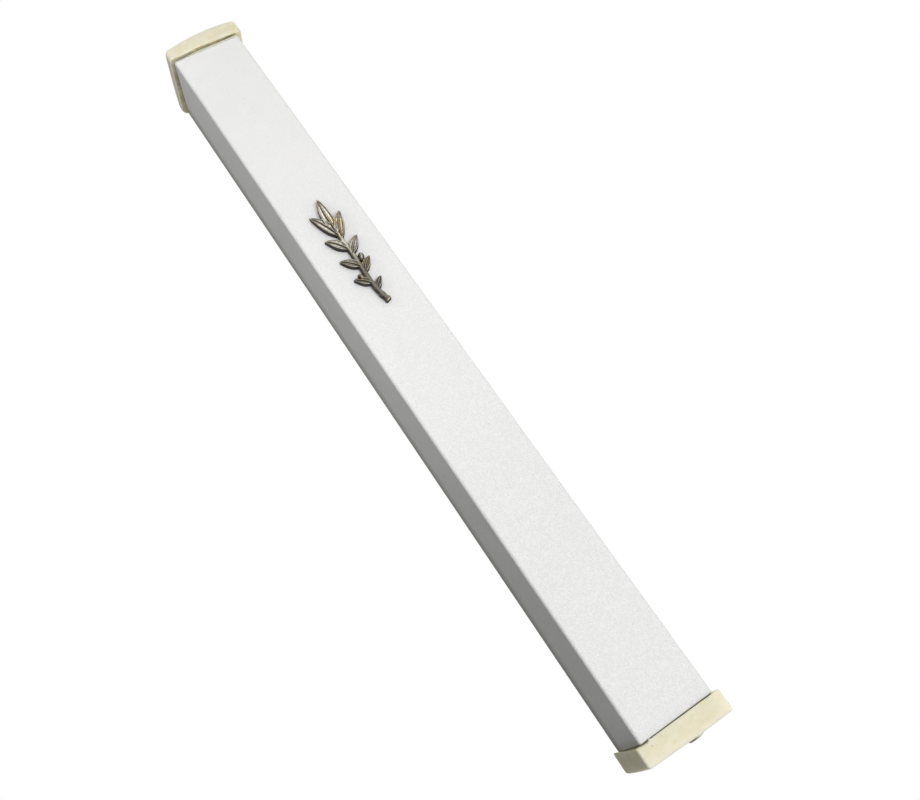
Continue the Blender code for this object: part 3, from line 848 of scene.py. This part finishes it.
def roughen_plug(mesh_data, shape):
    """Wears the skin in by small uneven amounts, most of all along the flange's inner edge.

    It also presses the upper plug's seam shut, paints that plug's left end paler as painted light, and
    shapes the lower one's edge.
    """
    bmesh.ops.recalc_face_normals(mesh_data, faces=mesh_data.faces)
    mesh_data.normal_update()
    wear_and_light = mesh_data.verts.layers.float["wear_and_light"]
    for vertex in mesh_data.verts:
        place = vertex.co.copy()
        broad = surface_noise(place, SKIN_WAVE, shape.seed)
        fine = surface_noise(place, SKIN_RIPPLE, shape.seed + 5)
        depth = SKIN_WAVE_DEPTH * (1 + broad) + SKIN_RIPPLE_DEPTH * (1 + fine)
        if place.z > shape.foot - HEIGHT_TOLERANCE:
            near_edge = 1 - smooth_step(shape.foot, shape.foot + EDGE_WEAR_BAND, place.z)
            ragged = 0.5 + 0.5 * surface_noise(place, EDGE_WEAR_WAVE, shape.seed + 9)
            depth += EDGE_WEAR * near_edge * ragged
        else:
            depth *= 0.5
        vertex.co -= vertex.normal * depth
        if shape.side < 0:
            vertex.co.z += lower_edge_lift(place, shape.foot)
        elif LIP_FOOT < place.z < SEAM_REACH:
            vertex.co.z = squeezed(vertex.co)
        # Painted light: the upper plug's left end is given a paler colour.
        if shape.side > 0 and place.x < PAINTED_LIGHT_LEFT_OF:
            vertex[wear_and_light] = max(vertex[wear_and_light], 0.9)


def squeezed(place):
    """Height of a point of the upper plug once its seam is pressed shut towards the left."""
    pressed = 1 - SEAM_SQUEEZE * smooth_step(SEAM_OPEN_FROM, SEAM_SHUT_FROM, place.x)
    share = pressed + (1 - pressed) * smooth_step(GROOVE_TOP, SEAM_REACH, place.z)
    return LIP_FOOT + (place.z - LIP_FOOT) * share


def lower_edge_lift(place, foot):
    """How far the lower flange's inner edge is moved: a bite at its front left, a curl at its back left."""
    if place.z < foot - HEIGHT_TOLERANCE:
        return 0.0
    near_edge = 1 - smooth_step(foot, foot + LIFT_BAND, place.z)
    in_front = smooth_step(*BITE_FRONT, place.y)
    past_left = smooth_step(*BITE_LEFT, place.x)
    before_right = 1 - smooth_step(*BITE_RIGHT, place.x)
    outside_left = smooth_step(*CURL_LEFT, place.x)
    towards_back = smooth_step(*CURL_BACK, place.y)
    bite = BITE_DEPTH * (past_left * before_right) * in_front
    return near_edge * (bite - CURL_DEPTH * outside_left * towards_back)


def add_nib(plug, shape):
    """Joins the moulding nib onto the outer face: a low mound, steep at its left, gentle at its right."""
    middle = NIB_PLACE.copy()
    middle.y *= shape.side
    mesh_data = bmesh.new()
    rings = []
    for level in range(NIB_LEVELS + 1):
        scale = 1 - level / NIB_LEVELS * 0.98
        ring = []
        for step in range(NIB_STEPS):
            angle = 2 * math.pi * step / NIB_STEPS
            rightward = 0.5 + 0.5 * math.cos(angle)
            reach = NIB_RADIUS * (1 + 0.02 * math.sin(3 * angle))
            x = middle.x + reach * scale * math.cos(angle)
            y = middle.y + reach * scale * math.sin(angle)
            steep = max(1 - scale**9, 0) ** 0.5
            gentle = max(1 - scale**3, 0) ** 0.8
            lift = NIB_HEIGHT * (steep + (0.85 * gentle - steep) * rightward)
            ring.append(mesh_data.verts.new((x, y, outer_face(shape, x, y) + lift - NIB_SUNK)))
        rings.append(ring)
    spots = [(vertex.co.x, vertex.co.y, vertex.co.z - NIB_ROOT) for vertex in rings[0]]
    rings.insert(0, [mesh_data.verts.new(spot) for spot in spots])
    bridge(mesh_data, rings)
    cap_ends(mesh_data, rings)
    join_to(plug, object_from_bmesh(plug.name + "_nib", mesh_data))
    # Painted shadow: the nib's raised part is darkened, near-black on the lower plug.
    grime = plug.data.attributes["grime"].data
    for vertex in plug.data.vertices:
        risen = vertex.co.z - outer_face(shape, vertex.co.x, vertex.co.y)
        if risen > 0.03 * MM:
            grime[vertex.index].value = shape.nib_grime * smooth_step(0.40, 0.65, risen / NIB_HEIGHT)


def add_flash(plug):
    """Small tag of flash that hangs from the inner edge of the flange over the tube's front."""
    mesh_data = bmesh.new()
    bmesh.ops.create_icosphere(mesh_data, subdivisions=3, radius=1.0)
    for vertex in mesh_data.verts:
        place = vertex.co.copy()
        swell = 1 + 0.25 * noise.noise(place * 1.7)
        x = FLASH_X + FLASH_HALF_WIDTH * place.x * swell
        y = HALF_DEPTH + FLASH_OFF_TUBE + FLASH_HALF_DEPTH * place.y
        z = FLASH_ABOVE_END + FLASH_HALF_HEIGHT * place.z * swell + FLASH_TILT * place.x
        vertex.co = Vector((x, y, z))
    join_to(plug, object_from_bmesh(plug.name + "_flash", mesh_data))


def join_to(piece, other):
    """Boolean union of other into piece; other is used up."""
    union = piece.modifiers.new("union", "BOOLEAN")
    union.operation = "UNION"
    union.object = other
    apply_modifiers(piece)
    shade(piece.data)
    mesh = other.data
    bpy.data.objects.remove(other, do_unlink=True)
    bpy.data.meshes.remove(mesh)


# ---------------- emblem
def curve_point(points, share):
    """Point and direction at share 0..1 along a smooth curve through the points."""
    spans = len(points) - 1
    along = min(share * spans, spans - 1e-6)
    index = int(along)
    local = along - index
    p1 = points[index]
    p2 = points[index + 1]
    p0 = points[index - 1] if index else p1 * 2 - p2
    p3 = points[index + 2] if index + 2 <= spans else p2 * 2 - p1
    a = p1 * 2
    b = p2 - p0
    c = p0 * 2 - p1 * 5 + p2 * 4 - p3
    d = p1 * 3 - p0 - p2 * 3 + p3
    place = (a + b * local + c * local**2 + d * local**3) / 2
    direction = (b + c * (2 * local) + d * (3 * local**2)) / 2
    return place, direction.normalized()


def solid_from_sheet(mesh_data, tops):
    """Closes a grid of (flat point, height) rows into a solid that stands on the height-0 plane."""
    rows = []
    for row in tops:
        top = [mesh_data.verts.new((flat.x, -height, flat.y)) for flat, height in row]
        foot = [mesh_data.verts.new((flat.x, 0, flat.y)) for flat, height in reversed(row)]
        rows.append(top + foot)
    bridge(mesh_data, rows)
    cap_ends(mesh_data, rows)


def add_leaf(mesh_data, leaf):
    """Cupped leaf on a short stalk: raised rim, midrib and faint side veins."""
    first = math.radians(leaf.lean)
    last = math.radians(leaf.lean + leaf.bend)
    start = Vector((leaf.x, leaf.z))
    elbow = start + Vector((math.sin(first), math.cos(first))) * leaf.length / 2
    tip = elbow + Vector((math.sin(last), math.cos(last))) * leaf.length / 2
    rows = []
    for long_step in range(LEAF_STEPS + 1):
        u = long_step / LEAF_STEPS
        middle = start * (1 - u) ** 2 + elbow * (2 * u * (1 - u)) + tip * u**2
        along = ((elbow - start) * (1 - u) + (tip - elbow) * u).normalized()
        across = Vector((along.y, -along.x))
        blade = max(math.sin(math.pi * min(u, 0.999) ** 0.82), 0) ** 0.8 * leaf.width / 2
        half = max(blade, LEAF_STALK_HALF * (1 - u) ** 2, LEAF_LEAST_HALF)
        row = []
        for cross_step in range(LEAF_CROSS_STEPS + 1):
            v = 2 * cross_step / LEAF_CROSS_STEPS - 1
            side = abs(v)
            rib = (LEAF_RIB - LEAF_CUP) * math.exp(-((v / 0.17) ** 2)) * (1 - 0.6 * u**2)
            rim = (LEAF_RIM - LEAF_CUP) * math.exp(-(((side - 0.84) / 0.15) ** 2))
            wave = math.cos(2 * math.pi * (u * leaf.length * 1.15 - side * 0.9))
            vein = LEAF_VEIN * wave * (1 - side**4)
            edge = (LEAF_CUP - LEAF_EDGE) * smooth_step(0.9, 1.0, side)
            lift = 0.10 * math.sin(math.pi * u) - 0.16 * u**3
            row.append((middle + across * (half * v), LEAF_CUP + rib + rim + vein - edge + lift))
        rows.append(row)
    solid_from_sheet(mesh_data, rows)


def add_stem(mesh_data):
    """Tapering stem with a rounded back and slight swellings."""
    rows = []
    for step in range(STEM_STEPS + 1):
        u = step / STEM_STEPS
        middle, along = curve_point(STEM_POINTS, u)
        across = Vector((along.y, -along.x))
        width = STEM_FOOT_WIDTH + (STEM_TIP_WIDTH - STEM_FOOT_WIDTH) * u
        width *= 1 + 0.10 * math.sin(2 * math.pi * 6.5 * u)
        if step == 0:
            width *= 0.75
        row = []
        for cross_step in range(STEM_CROSS_STEPS + 1):
            v = 2 * cross_step / STEM_CROSS_STEPS - 1
            height = STEM_HEIGHT * (0.72 + 0.28 * math.sqrt(max(1 - v * v, 0)))
            row.append((middle + across * (width / 2 * v), height))
        rows.append(row)
    solid_from_sheet(mesh_data, rows)


def add_olive(mesh_data, olive):
    """Half-sunk olive on the stem's side."""
    rings = []
    turn = Matrix.Rotation(-math.radians(olive.lean), 2)
    for level in range(10):
        angle = math.pi / 2 * level / 9
        height = OLIVE_HEIGHT * (0.45 + 0.55 * math.sin(angle)) if level else 0
        scale = max(math.cos(angle), 0.06)
        ring = []
        for step in range(OLIVE_STEPS):
            around = 2 * math.pi * step / OLIVE_STEPS
            flat = Vector((math.cos(around) * olive.width / 2, math.sin(around) * olive.length / 2)) * scale
            flat = turn @ flat + Vector((olive.x, olive.z))
            ring.append(mesh_data.verts.new((flat.x, -height, flat.y)))
        rings.append(ring)
    bridge(mesh_data, rings)
    cap_ends(mesh_data, rings)


def mark_relief(mesh):
    """Stores how much each point faces the front and how convex the metal is there, for the patina, the
    abraded tops and the painted highlight.
    """

    def read(items, name, width, kind):
        values = np.zeros(len(items) * width, dtype=kind)
        items.foreach_get(name, values)
        return values.reshape(-1, width)

    places = read(mesh.vertices, "co", 3, np.float64)
    normals = read(mesh.vertices, "normal", 3, np.float64)
    edges = read(mesh.edges, "vertices", 2, np.int64)
    links = np.bincount(edges.ravel(), minlength=len(places))

    def neighbour_mean(values):
        total = np.zeros_like(values)
        np.add.at(total, edges[:, 0], values[edges[:, 1]])
        np.add.at(total, edges[:, 1], values[edges[:, 0]])
        return total / links.reshape((-1,) + (1,) * (values.ndim - 1))

    relaxed = places
    for _ in range(10):
        relaxed = neighbour_mean(relaxed)
    convex = ((places - relaxed) * normals).sum(axis=1)
    for _ in range(2):
        convex = (convex + neighbour_mean(convex)) / 2
    convex = np.clip(0.5 + convex / CONVEX_SPAN, 0, 1)
    for name, values in (("facing", np.clip(-normals[:, 1], 0, 1)), ("convex", convex)):
        layer = mesh.attributes.new(name, "FLOAT", "POINT")
        layer.data.foreach_set("value", values.astype(np.float32))


def build_emblem():
    """Cast olive sprig, blended into one piece of metal."""
    mesh_data = bmesh.new()
    add_stem(mesh_data)
    for leaf in LEAVES:
        add_leaf(mesh_data, leaf)
    for olive in OLIVES:
        add_olive(mesh_data, olive)
    sprig = object_from_bmesh("emblem_sprig", mesh_data)
    fuse = sprig.modifiers.new("fuse", "REMESH")
    fuse.mode = "VOXEL"
    fuse.voxel_size = EMBLEM_VOXEL
    relax = sprig.modifiers.new("relax", "SMOOTH")
    relax.factor = 0.5
    relax.iterations = 3
    apply_modifiers(sprig)
    front = TUBE_LOW.y - EMBLEM_BASE_GAP * MM
    move = Matrix.Translation((TUBE_CENTRE.x, front, EMBLEM_CENTRE_Z * MM))
    sprig.data.transform(move @ Matrix.Scale(MM, 4))
    mark_relief(sprig.data)
    sprig.data.shade_smooth()
    place_piece(sprig, "case", "emblem", antique_bronze(), "emblem")


def build_glue():
    """Film of dried glue under the stem, squeezed out a little unevenly."""
    left = []
    right = []
    for step in range(GLUE_STEPS + 1):
        u = 0.04 + 0.92 * step / GLUE_STEPS
        middle, along = curve_point(STEM_POINTS, u)
        across = Vector((along.y, -along.x))
        end = math.sqrt(max(1 - abs(2 * step / GLUE_STEPS - 1) ** 6, 0.04))
        half = GLUE_HALF_WIDTH * end * (1 + 0.25 * noise.noise(Vector((step * 0.17, 0.3, 0.9))))
        left.append(middle - across * half)
        right.append(middle + across * half)
    outline = [point * MM for point in right + left[::-1]]
    mesh_data = bmesh.new()
    rings = []
    for lift in (GLUE_LOW, GLUE_HIGH):
        y = TUBE_LOW.y - lift * MM
        spots = [(point.x, y, point.y + EMBLEM_CENTRE_Z * MM) for point in outline]
        rings.append([mesh_data.verts.new(spot) for spot in spots])
    bridge(mesh_data, rings)
    for ring in rings:
        fill_strip(mesh_data, ring)
    glue = object_from_bmesh("emblem_glue_film", mesh_data)
    place_piece(glue, "case", "glue", clear_glue(), "emblem_adhesive")


# ---------------- mounting tape
def tape_slab(name, low, high, wander, seed):
    """Thin upright slab with rounded corners whose cut edges wander a little."""
    half_x = (high.x - low.x) / 2
    half_z = (high.z - low.z) / 2
    outline = rounded_rectangle(half_x, half_z, TAPE_CORNER, corner_steps=8, side_steps=120)
    mesh_data = bmesh.new()
    rings = []
    thickness = high.y - low.y
    bevel = thickness * 0.12
    for inset, y in ((bevel, low.y), (0, low.y + bevel), (0, high.y - bevel), (bevel, high.y)):
        ring = []
        for point in outline:
            spot = Vector((point.x, point.y, y * 3)) / TAPE_EDGE_WAVE + Vector((seed, 0, 0))
            pull = inset + wander * (0.5 + 0.5 * noise.noise(spot))
            x = point.x * (1 - pull / half_x)
            z = point.y * (1 - pull / half_z)
            ring.append(mesh_data.verts.new((x + (low.x + high.x) / 2, y, z + (low.z + high.z) / 2)))
        rings.append(ring)
    bridge(mesh_data, rings)
    cap_ends(mesh_data, rings)
    bmesh.ops.triangulate(mesh_data, faces=[face for face in mesh_data.faces if len(face.verts) > 4])
    return object_from_bmesh(name, mesh_data)


def build_tape():
    """Foam tape with its release paper still on the outer face."""
    foam_high = STRIP_HIGH.copy()
    foam_high.y -= LINER_THICKNESS
    tape = tape_slab("foam_tape", STRIP_LOW, foam_high, TAPE_EDGE_WANDER, 1.0)
    place_piece(tape, "case", "tape", foam(), "adhesive_strip")
    liner_low = STRIP_LOW.copy()
    liner_low.y = foam_high.y + LINER_GAP
    liner = tape_slab("release_paper", liner_low, STRIP_HIGH, TAPE_EDGE_WANDER / 3, 6.0)
    place_piece(liner, "case", "tape", liner_paper(), "adhesive_strip")


# ---------------- scroll and sleeve
def build_scroll():
    """Blank parchment rolled into a spiral, its cut ends a little uneven."""
    turns = (SCROLL_RADIUS - SCROLL_CORE) / PARCHMENT_PITCH
    steps = round(turns * SCROLL_STEPS_PER_TURN)
    low = SCROLL_LOW.z
    high = SCROLL_HIGH.z
    mesh_data = bmesh.new()
    rings = []
    for row in range(SCROLL_ROWS + 1):
        share = row / SCROLL_ROWS
        inner_side = []
        outer_side = []
        for step in range(steps + 1):
            angle = 2 * math.pi * turns * step / steps
            ripple = noise.noise(Vector((step * 0.045, share * 5, 0.5)))
            radius = SCROLL_CORE + PARCHMENT_PITCH * angle / (2 * math.pi) + SCROLL_RIPPLE * ripple
            direction = Vector((math.cos(angle), math.sin(angle), 0))
            trim = SCROLL_TRIM * (1 + noise.noise(Vector((step * 0.02, 3.3, 7.7))))
            z = low + trim + (high - low - 2 * trim) * share
            for side, reach in ((inner_side, -0.5), (outer_side, 0.5)):
                spot = direction * (radius + reach * PARCHMENT_THICKNESS)
                spot.z = z
                spot.y += TUBE_CENTRE.y
                side.append(mesh_data.verts.new(spot))
        rings.append(outer_side + inner_side[::-1])
    bridge(mesh_data, rings)
    fill_strip(mesh_data, rings[0])
    fill_strip(mesh_data, rings[-1])
    scroll = object_from_bmesh("rolled_parchment", mesh_data, sharp_angle=50)
    place_piece(scroll, "scroll", "parchment", parchment(), "parchment_scroll")


def build_sleeve():
    """Clear film wrapped round the parchment, a little rumpled."""
    outer = (SLEEVE_HIGH.x - SLEEVE_LOW.x) / 2
    low = SLEEVE_LOW.z
    high = SLEEVE_HIGH.z
    mesh_data = bmesh.new()

    def ring(radius, share):
        made = []
        for step in range(SLEEVE_STEPS):
            angle = 2 * math.pi * step / SLEEVE_STEPS
            direction = Vector((math.cos(angle), math.sin(angle), 0))
            rumple = noise.noise(Vector((direction.x * 1.6, direction.y * 1.6, share * 16)))
            spot = direction * (radius + SLEEVE_RUMPLE * rumple)
            spot.y += TUBE_CENTRE.y
            spot.z = low + (high - low) * share
            made.append(mesh_data.verts.new(spot))
        return made

    shares = [row / SLEEVE_ROWS for row in range(SLEEVE_ROWS + 1)]
    rings = [ring(outer, share) for share in shares]
    rings += [ring(outer - SLEEVE_WALL, 1 - share) for share in shares]
    bridge(mesh_data, rings, closed=True)
    sleeve = object_from_bmesh("film_sleeve", mesh_data)
    place_piece(sleeve, "scroll", "film", clear_film(), "scroll_sleeve")


# ---------------- stage
def build_floor():
    mesh_data = bmesh.new()
    bmesh.ops.create_circle(mesh_data, cap_ends=True, segments=96, radius=FLOOR_RADIUS)
    floor = object_from_bmesh("floor", mesh_data)
    floor.location = (0, 0, -FLOOR_DROP)
    floor.data.materials.append(floor_paper())


def build_lights():
    """Soft boxes round the case; the camera doesn't see them."""
    for box in SOFTBOXES:
        light = bpy.data.lights.new(box.name, "AREA")
        light.shape = "RECTANGLE"
        light.size = box.width
        light.size_y = box.height
        light.energy = box.power
        lamp = link_object(box.name, light)
        lamp.location = TUBE_CENTRE + box.place
        towards = Vector((0, 0, box.aim_z)) - box.place
        lamp.rotation_euler = towards.to_track_quat("-Z", "Y").to_euler()
        lamp.visible_camera = False
        lamp.visible_diffuse = box.lights
        lamp.visible_glossy = box.reflected


def build_world():
    """White behind everything; the light from it is dimmer, and stronger from the right and from above."""
    world = bpy.data.worlds.new("studio")
    bpy.context.scene.world = world
    world.use_nodes = True
    tree = world.node_tree
    tree.nodes.clear()
    source = tree.nodes.new("ShaderNodeTexCoord").outputs["Generated"]
    parts = add_node(tree, "ShaderNodeSeparateXYZ", {"Vector": source}).outputs
    level = calculate(tree, "MULTIPLY_ADD", parts["X"], WORLD_RIGHT_RISE, WORLD_LEVEL)
    level = calculate(tree, "MULTIPLY_ADD", parts["Z"], WORLD_UP_RISE, level)
    level = calculate(tree, "MAXIMUM", level, WORLD_LEAST)
    glow = add_node(tree, "ShaderNodeBackground", {"Color": colour(*WORLD_TINT), "Strength": level})
    white = add_node(tree, "ShaderNodeBackground", {"Color": colour(1, 1, 1), "Strength": 1.0})
    seen = tree.nodes.new("ShaderNodeLightPath").outputs["Is Camera Ray"]
    both = add_node(tree, "ShaderNodeMixShader", {0: seen, 1: glow.outputs[0], 2: white.outputs[0]})
    output = tree.nodes.new("ShaderNodeOutputWorld")
    tree.links.new(both.outputs[0], output.inputs["Surface"])
    bpy.context.scene.view_settings.view_transform = "Standard"


def build_camera():
    camera = bpy.data.cameras.new("camera")
    camera.lens = CAMERA_LENS
    camera.clip_start = 1 * MM
    camera.clip_end = 10.0
    rig = link_object("camera", camera)
    rig.location = TUBE_CENTRE + CAMERA_FROM_CASE
    rig.rotation_euler = [math.radians(angle) for angle in CAMERA_TURN]
    bpy.context.scene.camera = rig


build_camera()
build_world()
build_lights()
build_floor()
finish_tube()
rubber = cream_rubber()
build_plug(UPPER_PLUG, rubber)
build_plug(LOWER_PLUG, rubber)
build_emblem()
build_glue()
build_tape()
build_scroll()
build_sleeve()
